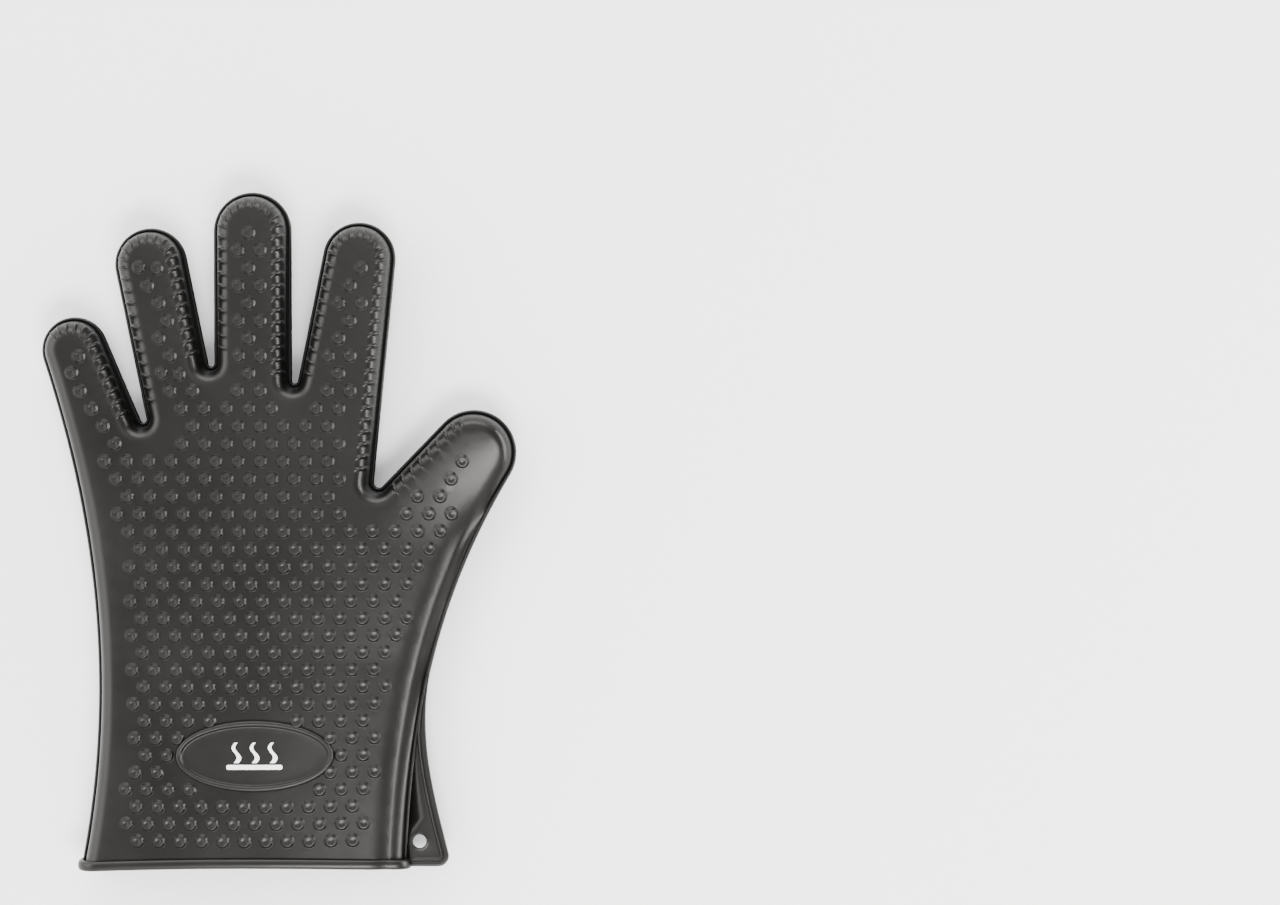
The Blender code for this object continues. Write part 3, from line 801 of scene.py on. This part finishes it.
def skin_piece(name, data, chosen, cuts, material):
    """One stretch of the skin, closed across its cuts, that shades as part of the whole."""
    points, normals, proud, faces = data
    used, faces = np.unique(faces[chosen], return_inverse=True)
    faces = faces.reshape(-1, 3)
    points, normals, proud = points[used], normals[used], proud[used]
    shading = normals[faces].reshape(-1, 3)
    loops = chained_loops(faces)
    for cut, outwards in cuts:
        flat = [loop for loop in loops if np.abs(cut.side(points[loop])).max() < 0.01]
        cap = capped(points, flat, cut.normal)
        faces = np.concatenate([faces, cap])
        shading = np.concatenate([shading, np.tile(outwards * cut.normal, (len(cap) * 3, 1))])
    mesh = mesh_of(name, points, faces, proud)
    mesh.normals_split_custom_set(shading.tolist())
    return object_of(mesh, material)


def build_skin(material):
    points, faces, proud = make_skin()
    data = (points, skin_normals(points, faces), proud, faces)
    hand_cuts = [Cut(i, KNUCKLE_BEND[name][0]) for i, name in enumerate(NAMES)]
    tip_cuts = [Cut(i, (KNUCKLE_BEND[name][1] + MIDDLE_BEND[name][0]) / 2)
                for i, name in enumerate(NAMES)]
    for i, pair in enumerate(zip(hand_cuts, tip_cuts)):
        for cut in pair:
            data = split(*data, cut, i)
    points, faces = data[0], data[3]
    middles = points[faces].mean(1)
    on_hand = np.ones(len(faces), bool)
    for i, name in enumerate(NAMES):
        finger = strip_of(i, middles) & (hand_cuts[i].side(middles) > 0)
        tip = finger & (tip_cuts[i].side(middles) > 0)
        on_hand &= ~finger
        root = skin_piece(name + "_root_skin", data, finger & ~tip,
                          [(hand_cuts[i], -1.0), (tip_cuts[i], 1.0)], material)
        start, stop = KNUCKLE_BEND[name]
        tuple(hand_cuts[i].place(0.0))
        tuple(hand_cuts[i].place(start - stop))
        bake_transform(root)
        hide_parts(name + "_knuckle_fold", name + "_base_sleeve")
        piece = skin_piece(name + "_tip_skin", data, tip, [(tip_cuts[i], -1.0)], material)
        from_cut = tip_cuts[i].distance
        tuple(tip_cuts[i].place(from_cut - MIDDLE_BEND[name][0]))
        tuple(tip_cuts[i].place(from_cut - MIDDLE_BEND[name][1]))
        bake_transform(piece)
        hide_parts(name + "_middle_fold", name + "_tip_sleeve")
    hand = skin_piece("hand_skin", data, on_hand, [(cut, 1.0) for cut in hand_cuts], material)
    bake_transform(hand)
    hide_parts("cuff_front_wall", "cuff_back_wall", "wrist_fold", "palm_front_wall",
                "palm_back_wall")


# ---------------------------------------------------------------- lip

LIP_SIDES = 20
LIP_HALF = (1.9, 2.4)
LIP_CENTRE = 0.1
LIP_RISE = 1.8
LIP_SQUARENESS = 0.8       # exponent of the bead's section
LIP_RUN_STEPS, LIP_END_STEPS = 40, 26


def mouth_loop(grow, drop):
    """A loop round the cuff's mouth, grow outside the skin and drop below its edge."""
    left, right = LEFT_CORNER[0] + SHOULDER_END, RIGHT_CORNER[0] - SHOULDER_END
    middle, half = (RIGHT_CORNER[0] + LEFT_CORNER[0]) / 2, (RIGHT_CORNER[0] - LEFT_CORNER[0]) / 2
    turns = np.pi * np.arange(2 * LIP_END_STEPS) / (2 * LIP_END_STEPS)
    out, up = (signed_power(v, 2 / ROUNDNESS) for v in (np.sin(turns), np.cos(turns)))
    run = np.linspace(0, 1, LIP_RUN_STEPS)[1:-1]
    loop = []
    for side, start, end in ((1, left, right), (-1, right, left)):
        x = start + run * (end - start)
        loop.append(level(x, side))
        loop.append(np.column_stack([end + side * out * (SHOULDER_END + grow), side * up]))
    x, up = np.concatenate(loop).T
    y = MOUTH_Y - drop + MOUTH_BOW * (1.0 - ((x - middle) / half) ** 2)
    xy = np.column_stack([x, y])
    inside = np.column_stack([np.clip(x, left, right), y])
    high = np.where(up > 0, face_height(inside, 1), face_height(inside, -1)) + grow
    return np.column_stack([xy, up * high])


def build_lip(material):
    mesh = Mesh()
    top = LIP_HIGH[1] + LIP_RISE - MOUTH_Y - MOUTH_BOW
    rings = []
    for k in range(LIP_SIDES):
        out, up = signed_power(unit(2 * math.pi * k / LIP_SIDES), LIP_SQUARENESS)
        rings.append(mesh.add(mouth_loop(LIP_CENTRE + LIP_HALF[0] * out,
                                         LIP_HALF[1] - LIP_HALF[1] * up - top), 0.3))
    for low, high in zip(rings, rings[1:] + rings[:1]):
        mesh.strip(low, high, closed=True)
    lip = object_of(mesh_of("mouth_lip", *mesh.arrays()), material)
    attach(lip, "cuff")
    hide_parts("cuff_lip")


# ---------------------------------------------------------------- hang tab

TAB_TOP_Y = -67.0
TAB_CORNER, TAB_BOTTOM_Y = (79.6, -151.0), -157.0
TAB_START, TAB_REACH, TAB_CORNER_LEAN = (-6.0, -31.0), 24.0, 14.0
TAB_STEPS, TAB_SPARE, TAB_TUCK = 110, 1.4, 1.7     # the tab's inner side is tucked into the flange
HOLE_CENTRE, HOLE_RADIUS, HOLE_SIDES = (66.0, -145.3), 3.15, 32
TAB_LEVELS = ((0.0, 0.7), (0.25, 1.05), (0.7, 1.2), (1.7, 1.2), (2.15, 0.95), (2.4, 0.6),
              (2.75, 0.6), (3.0, 1.0), (3.3, 1.5), (3.65, 1.5), (3.95, 1.0), (4.2, 0.5),
              (4.5, 0.48), (4.8, 0.48))
HOLE_LEVELS = ((0.0, 0.25), (0.12, 0.5), (0.4, 0.72), (0.75, 0.7), (1.05, 0.5), (1.3, 0.48))


def tab_edge():
    """The tab's free edge from its top to the lip, with outward normals."""
    start = min(OUTLINE_FINE[OUTLINE_FINE[:, 0] > 0], key=lambda p: abs(p[1] - TAB_TOP_Y))
    corner = np.array(TAB_CORNER)
    lean = unit(math.radians(-90 + TAB_CORNER_LEAN))
    edge = Path()
    edge.curve(start, start + np.array(TAB_START), corner - TAB_REACH * lean, corner)
    facing = math.radians(TAB_CORNER_LEAN)
    radius = (corner[1] - TAB_BOTTOM_Y) / (1.0 + math.sin(facing))
    turn_centre = corner - radius * unit(facing)
    edge.arc((turn_centre, radius), facing, -math.pi / 2)
    foot = turn_centre + np.array([0.0, -radius])
    edge.line(foot, np.array([RIGHT_CORNER[0] - 0.5, TAB_BOTTOM_Y]))
    pairs = [edge.at(s) for s in np.linspace(0, edge.length, TAB_STEPS)]
    points = np.array([p for p, _ in pairs])
    along = np.gradient(points, axis=0)
    along /= np.linalg.norm(along, axis=1, keepdims=True)
    return points, np.column_stack([-along[:, 1], along[:, 0]])


def build_tab(material):
    edge, out = tab_edge()
    cuff = OUTLINE_FINE[(OUTLINE_FINE[:, 0] > 0) & (OUTLINE_FINE[:, 1] < TAB_TOP_Y)]
    room = near(edge, cuff) + TAB_SPARE
    share = np.minimum(1.0, room / TAB_LEVELS[-1][0])[:, None]
    inner = cuff[::8][::-1] - np.array([TAB_TUCK, 0.0])
    around = directions(HOLE_SIDES, -1)
    hole_rings = [(np.array(HOLE_CENTRE) + (HOLE_RADIUS + grow) * around, height)
                  for grow, height in HOLE_LEVELS]
    last = edge - TAB_LEVELS[-1][0] * share * out
    outer = np.concatenate([last, inner[inner[:, 1] > last[-1, 1] + 0.5]])
    flat, faces = triangulate(outer, [hole_rings[-1][0]], np.zeros((0, 2)))
    mesh = Mesh()
    rim, hole_rim = mesh.add(level(edge)), mesh.add(level(hole_rings[0][0]))
    for side in (1, -1):
        mesh.side = side
        low = rim
        for depth, height in TAB_LEVELS:
            # The bead's high rings get a proud share, and the silicone paints them lighter as a
            # highlight.
            high = mesh.add(level(edge - depth * share * out, height), 0.8 if height > 1.0 else 0.0)
            mesh.strip(high, low)
            low = high
        bore = hole_rim
        for xy, height in hole_rings:
            ring = mesh.add(level(xy, height))
            mesh.strip(bore, ring, closed=True)
            bore = ring
        added = mesh.add(level(flat[len(last):len(flat) - HOLE_SIDES], TAB_LEVELS[-1][1]))
        mesh.patch(np.concatenate([low, added, bore])[faces])
    points, faces, proud = mesh.arrays()
    faces = np.concatenate([faces, capped_side(faces)])
    tab = object_of(mesh_of("hang_tab_skin", points, faces, proud), material)
    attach(tab, "cuff")
    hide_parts("hang_tab")


def capped_side(faces):
    """A fan over each open loop, for ends that are buried in another piece."""
    made = []
    for loop in chained_loops(faces):
        made += [(loop[0], loop[k + 1], loop[k]) for k in range(1, len(loop) - 1)]
    return np.array(made).reshape(-1, 3)


# ---------------------------------------------------------------- badges and emblems

BADGE_LEVELS = ((0.0, -0.5), (0.0, -0.1), (0.35, 0.7), (0.75, 1.3), (1.2, 1.58), (1.85, 1.64),
                (2.45, 1.5), (2.8, 1.1), (3.15, 0.5), (3.45, 0.22), (3.85, 0.18))
BADGE_FIELD = (0.85, 0.65, 0.45, 0.25, 0.1)       # rings over the flat middle, as shares of it
BADGE_SIDES = 128
EMBLEM_BAR, EMBLEM_WAVES, EMBLEM_PITCH = (26.0, 2.2), 3, 8.4
EMBLEM_WIDTH, EMBLEM_HEIGHT, EMBLEM_SWAY, EMBLEM_TAPER = 2.4, 10.4, 1.3, 0.45
EMBLEM_GAP, EMBLEM_LOW, EMBLEM_TOP = 0.9, 0.15, 0.36


def on_face(local, height, side):
    """Points drawn about a badge's centre, height above the face, and turned over at the back."""
    xy = BADGE_CENTRE + local * np.array([side, 1.0])
    return np.column_stack([xy, side * (face_height(xy, side) + height)])


def build_badge(name, side, material):
    around = directions(BADGE_SIDES)
    mesh = Mesh()
    bottom = mesh.add(on_face(np.zeros((1, 2)), BADGE_LEVELS[0][1], side))
    low = None
    for inset, height in BADGE_LEVELS:
        # Rings get a proud share by height, and the silicone paints the rim lighter as a highlight.
        ring = mesh.add(on_face(around * (BADGE_HALF - inset), height, side),
                        max(0.0, height) * 0.6)
        if low is None:
            mesh.fan(ring[::-1], bottom)
        else:
            mesh.strip(low, ring, closed=True)
        low = ring
    field = BADGE_HALF - BADGE_LEVELS[-1][0]
    for share in BADGE_FIELD:
        ring = mesh.add(on_face(around * field * share, BADGE_LEVELS[-1][1], side))
        mesh.strip(low, ring, closed=True)
        low = ring
    mesh.fan(low, mesh.add(on_face(np.zeros((1, 2)), BADGE_LEVELS[-1][1], side)))
    badge = object_of(mesh_of(name + "_badge_plate", *mesh.arrays()), material)
    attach(badge, "cuff")
    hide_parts(name + "_badge")


def rounded(corners, radius, steps=6):
    """A closed outline with its corners rounded."""
    made = []
    for before, corner, after in zip(np.roll(corners, 1, 0), corners, np.roll(corners, -1, 0)):
        a, b = before - corner, after - corner
        reach = min(radius, 0.48 * np.linalg.norm(a), 0.48 * np.linalg.norm(b))
        a, b = corner + a / np.linalg.norm(a) * reach, corner + b / np.linalg.norm(b) * reach
        for t in np.linspace(0, 1, steps):
            made.append((1 - t) ** 2 * a + 2 * t * (1 - t) * corner + t * t * b)
    return np.array(made)


def evenly(corners, step):
    """A closed outline with points added along its long edges."""
    made = []
    for a, b in zip(corners, np.roll(corners, -1, 0)):
        count = max(1, math.ceil(np.linalg.norm(b - a) / step))
        made += [a + (b - a) * k / count for k in range(count)]
    return np.array(made)


def emblem_shapes():
    """The bar and the waves, each as an outline round the badge's centre."""
    foot = -(EMBLEM_BAR[1] + EMBLEM_HEIGHT) / 2
    half, top = EMBLEM_BAR[0] / 2, foot + EMBLEM_BAR[1]
    bar = np.array([(-half, foot), (half, foot), (half, top), (-half, top)])
    shapes = [rounded(bar, 1.0)]
    rise = np.linspace(0, 1, 28)
    for wave in range(EMBLEM_WAVES):
        middle = (wave - (EMBLEM_WAVES - 1) / 2) * EMBLEM_PITCH
        sway = middle + EMBLEM_SWAY * np.sin(2 * np.pi * rise)
        width = (1.0 - EMBLEM_TAPER * rise) * EMBLEM_WIDTH / 2
        y = top + EMBLEM_GAP + (EMBLEM_HEIGHT - EMBLEM_GAP) * rise
        right = np.column_stack([sway + width, y])
        left = np.column_stack([sway - width, y])[::-1]
        shapes.append(rounded(np.concatenate([right, left]), 0.6, 4))
    return shapes


def build_emblem(name, side, material):
    mesh = Mesh()
    for shape in emblem_shapes():
        keep = np.linalg.norm(shape - np.roll(shape, 1, 0), axis=1) > 1e-3
        shape = evenly(shape[keep], 0.8)
        flat, faces = triangulate(shape, [], np.zeros((0, 2)))
        low = mesh.add(on_face(flat, EMBLEM_LOW, side))
        high = mesh.add(on_face(flat, EMBLEM_TOP, side))
        mesh.strip(low, high, closed=True)
        mesh.patch(low[faces][:, ::-1])
        mesh.patch(high[faces])
    emblem = object_of(mesh_of(name + "_emblem_print", *mesh.arrays()[:2]), material)
    emblem.data.set_sharp_from_angle(angle=math.radians(40))
    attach(emblem, "cuff")
    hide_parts(name + "_emblem")


# ---------------------------------------------------------------- materials


class NodeTree:
    """Adds nodes to a material's or the world's tree, and returns their outputs."""

    def __init__(self, tree):
        self.nodes, self.links = tree.nodes, tree.links
        self.coords = tree.nodes.new("ShaderNodeTexCoord").outputs

    def add(self, kind, socket, source, inputs):
        """A new node with source linked into socket, and other inputs set."""
        node = self.nodes.new(kind)
        for key, number in inputs.items():
            node.inputs[key].default_value = number
        self.links.new(source, node.inputs[socket])
        return node

    def noise(self, scale, detail, roughness):
        return self.add("ShaderNodeTexNoise", "Vector", self.coords["Object"],
                        {"Scale": scale, "Detail": detail, "Roughness": roughness}).outputs["Fac"]

    def ranged(self, value, low, high, out_low, out_high):
        return self.add("ShaderNodeMapRange", "Value", value,
                        {"From Min": low, "From Max": high, "To Min": out_low,
                         "To Max": out_high}).outputs["Result"]

    def mixed(self, factor, a, b):
        node = self.nodes.new("ShaderNodeMix")
        node.data_type = "RGBA"
        for socket, value in ((node.inputs["A"], a), (node.inputs["B"], b)):
            if isinstance(value, tuple):
                socket.default_value = (*value, 1.0)
            else:
                self.links.new(value, socket)
        self.links.new(factor, node.inputs["Factor"])
        return node.outputs["Result"]

    def bumped(self, heights):
        """Chains bumps of (height output, distance in metres, strength)."""
        before = None
        for height, distance, strength in heights:
            bump = self.add("ShaderNodeBump", "Height", height,
                            {"Distance": distance, "Strength": strength})
            if before:
                self.links.new(before, bump.inputs["Normal"])
            before = bump.outputs["Normal"]
        return before


def start_material(name):
    """A new material, its tree, and a function that links an output to its shader."""
    material = bpy.data.materials.new(name)
    material.use_nodes = True
    inputs = material.node_tree.nodes["Principled BSDF"].inputs
    tree = NodeTree(material.node_tree)
    return material, tree, inputs, lambda output, key: tree.links.new(output, inputs[key])


def silicone(name, dark, light, rough_low, rough_high, speck_and_highlight):
    """Satin moulded silicone: mottled charcoal, cloudy gloss, fine mould grain, raised crests painted
    lighter as a highlight.
    """
    material, tree, inputs, link = start_material(name)
    cloud = tree.noise(28.0, 3.0, 0.55)
    speck = tree.noise(900.0, 2.0, 0.6)
    colour = tree.mixed(tree.ranged(cloud, 0.3, 0.7, 0.0, 1.0), dark, light)
    colour = tree.mixed(tree.ranged(speck, 0.62, 0.8, 0.0, 0.25), colour, speck_and_highlight)
    # Painted highlight: each point's proud share (rib and dot crests, the tab's bead, the badge's rim)
    # lightens the colour towards the lighter colour.
    proud = tree.nodes.new("ShaderNodeAttribute")
    proud.attribute_name = "proud"
    crest_highlight = tree.ranged(proud.outputs["Fac"], 0.55, 1.0, 0.0, 0.25)
    link(tree.mixed(crest_highlight, colour, speck_and_highlight), "Base Color")
    link(tree.ranged(cloud, 0.25, 0.75, rough_low, rough_high), "Roughness")
    grain = tree.noise(2600.0, 2.0, 0.5)
    ripple = tree.noise(90.0, 2.0, 0.5)
    link(tree.bumped(((ripple, 0.0012, 0.10), (grain, 0.00006, 0.35))), "Normal")
    facing = tree.nodes.new("ShaderNodeLayerWeight")
    facing.inputs["Blend"].default_value = 0.5
    link(tree.ranged(facing.outputs["Facing"], 0.15, 0.7, 0.27, 0.09), "Specular IOR Level")
    inputs["Specular Tint"].default_value = (1.0, 0.975, 0.945, 1.0)
    return material


def ink(name):
    """White silicone ink: slightly uneven, satin."""
    material, tree, _, link = start_material(name)
    patch = tree.noise(500.0, 3.0, 0.6)
    link(tree.mixed(tree.ranged(patch, 0.35, 0.75, 0.0, 1.0), (0.86, 0.86, 0.85),
                    (0.74, 0.74, 0.72)), "Base Color")
    link(tree.ranged(patch, 0.3, 0.7, 0.42, 0.55), "Roughness")
    link(tree.bumped(((tree.noise(2200.0, 2.0, 0.5), 0.00005, 0.3),)), "Normal")
    return material


def paper(name):
    """The pale floor."""
    material, tree, inputs, link = start_material(name)
    link(tree.mixed(tree.noise(3.0, 2.0, 0.5), (0.88, 0.88, 0.88), (0.9, 0.9, 0.9)), "Base Color")
    inputs["Roughness"].default_value = 0.9
    inputs["Specular IOR Level"].default_value = 0.1
    return material


# ---------------------------------------------------------------- stage, lights, camera

CAMERA_XY = (0.1696, 0.0375)
CAMERA_RISE = 1.25
VIEW_WIDTH = 0.602
SENSOR = 36.0
FLOOR_REACH = 20.0
DOME_FADE = (0.6, 0.95)            # the dome is bright low down and dim overhead
DOME_STRENGTH = (4.4, 0.4)
DOME_TURN = (0.2, 0.7)             # and dimmer on the right than on the left
DOME_SIDES = (1.0, 0.04)
LIGHT_TARGET = (-0.01, 0.0, 0.015)
# Each light's name, place, size and power
LIGHTS = (("overhead_right", (0.36, -0.95, 1.55), (1.1, 0.4), 58.0),
          ("upper_fill", (0.1, 0.4, 1.55), (0.8, 0.6), 4.5),
          ("left_box", (-1.5, 0.3, 0.85), (1.4, 1.8), 24.0),
          ("top_box", (0.0, 1.6, 0.8), (2.0, 0.9), 30.0),
          ("right_strip", (1.6, 0.1, 0.3), (1.8, 0.3), 60.0))


def area_light(name, place, size, energy):
    data = bpy.data.lights.new(name, "AREA")
    data.shape = "RECTANGLE"
    data.size, data.size_y = size
    data.energy = energy
    light = new_object(name, data)
    light.location = place
    aim = Vector(LIGHT_TARGET) - Vector(place)
    light.rotation_euler = aim.to_track_quat("-Z", "Y").to_euler()


def build_stage():
    mesh = bpy.data.meshes.new("floor")
    corners = ((-1, -1), (1, -1), (1, 1), (-1, 1))
    mesh.from_pydata([(x * FLOOR_REACH, y * FLOOR_REACH, 0) for x, y in corners], [], [(0, 1, 2, 3)])
    mesh.materials.append(paper("floor_paper"))
    floor = new_object("floor", mesh)

    world = bpy.data.worlds.new("studio")
    world.use_nodes = True
    background = world.node_tree.nodes["Background"]
    background.inputs["Color"].default_value = (1.0, 0.995, 0.985, 1.0)
    tree = NodeTree(world.node_tree)
    direction = tree.nodes.new("ShaderNodeSeparateXYZ")
    tree.links.new(tree.coords["Generated"], direction.inputs[0])
    product = tree.nodes.new("ShaderNodeMath")
    product.operation = "MULTIPLY"
    tree.links.new(tree.ranged(direction.outputs["Z"], *DOME_FADE, *DOME_STRENGTH),
                   product.inputs[0])
    tree.links.new(tree.ranged(direction.outputs["X"], *DOME_TURN, *DOME_SIDES),
                   product.inputs[1])
    tree.links.new(product.outputs[0], background.inputs["Strength"])
    bpy.context.scene.world = world
    for light in LIGHTS:
        area_light(*light)

    camera_data = bpy.data.cameras.new("camera")
    camera_data.sensor_width = SENSOR
    camera_data.lens = SENSOR * CAMERA_RISE / VIEW_WIDTH
    camera_data.clip_start, camera_data.clip_end = 0.05, 80.0
    camera = new_object("camera", camera_data)
    camera.location = (*CAMERA_XY, MID_Z * MM + CAMERA_RISE)
    bpy.context.scene.camera = camera


# ---------------------------------------------------------------- build

# The last colour of each silicone gives both the light specks and the painted highlight on raised crests.
skin_material = silicone("charcoal_silicone", (0.0030, 0.0029, 0.0028), (0.0042, 0.0041, 0.0039),
                         0.31, 0.38, (0.009, 0.0087, 0.0083))
badge_material = silicone("badge_silicone", (0.0028, 0.0028, 0.0027), (0.0038, 0.0037, 0.0036),
                          0.34, 0.40, (0.008, 0.008, 0.0077))
ink_material = ink("white_ink")
build_skin(skin_material)
build_lip(skin_material)
build_tab(skin_material)
for label, face in (("front", 1), ("back", -1)):
    build_badge(label, face, badge_material)
    build_emblem(label, face, ink_material)
build_stage()
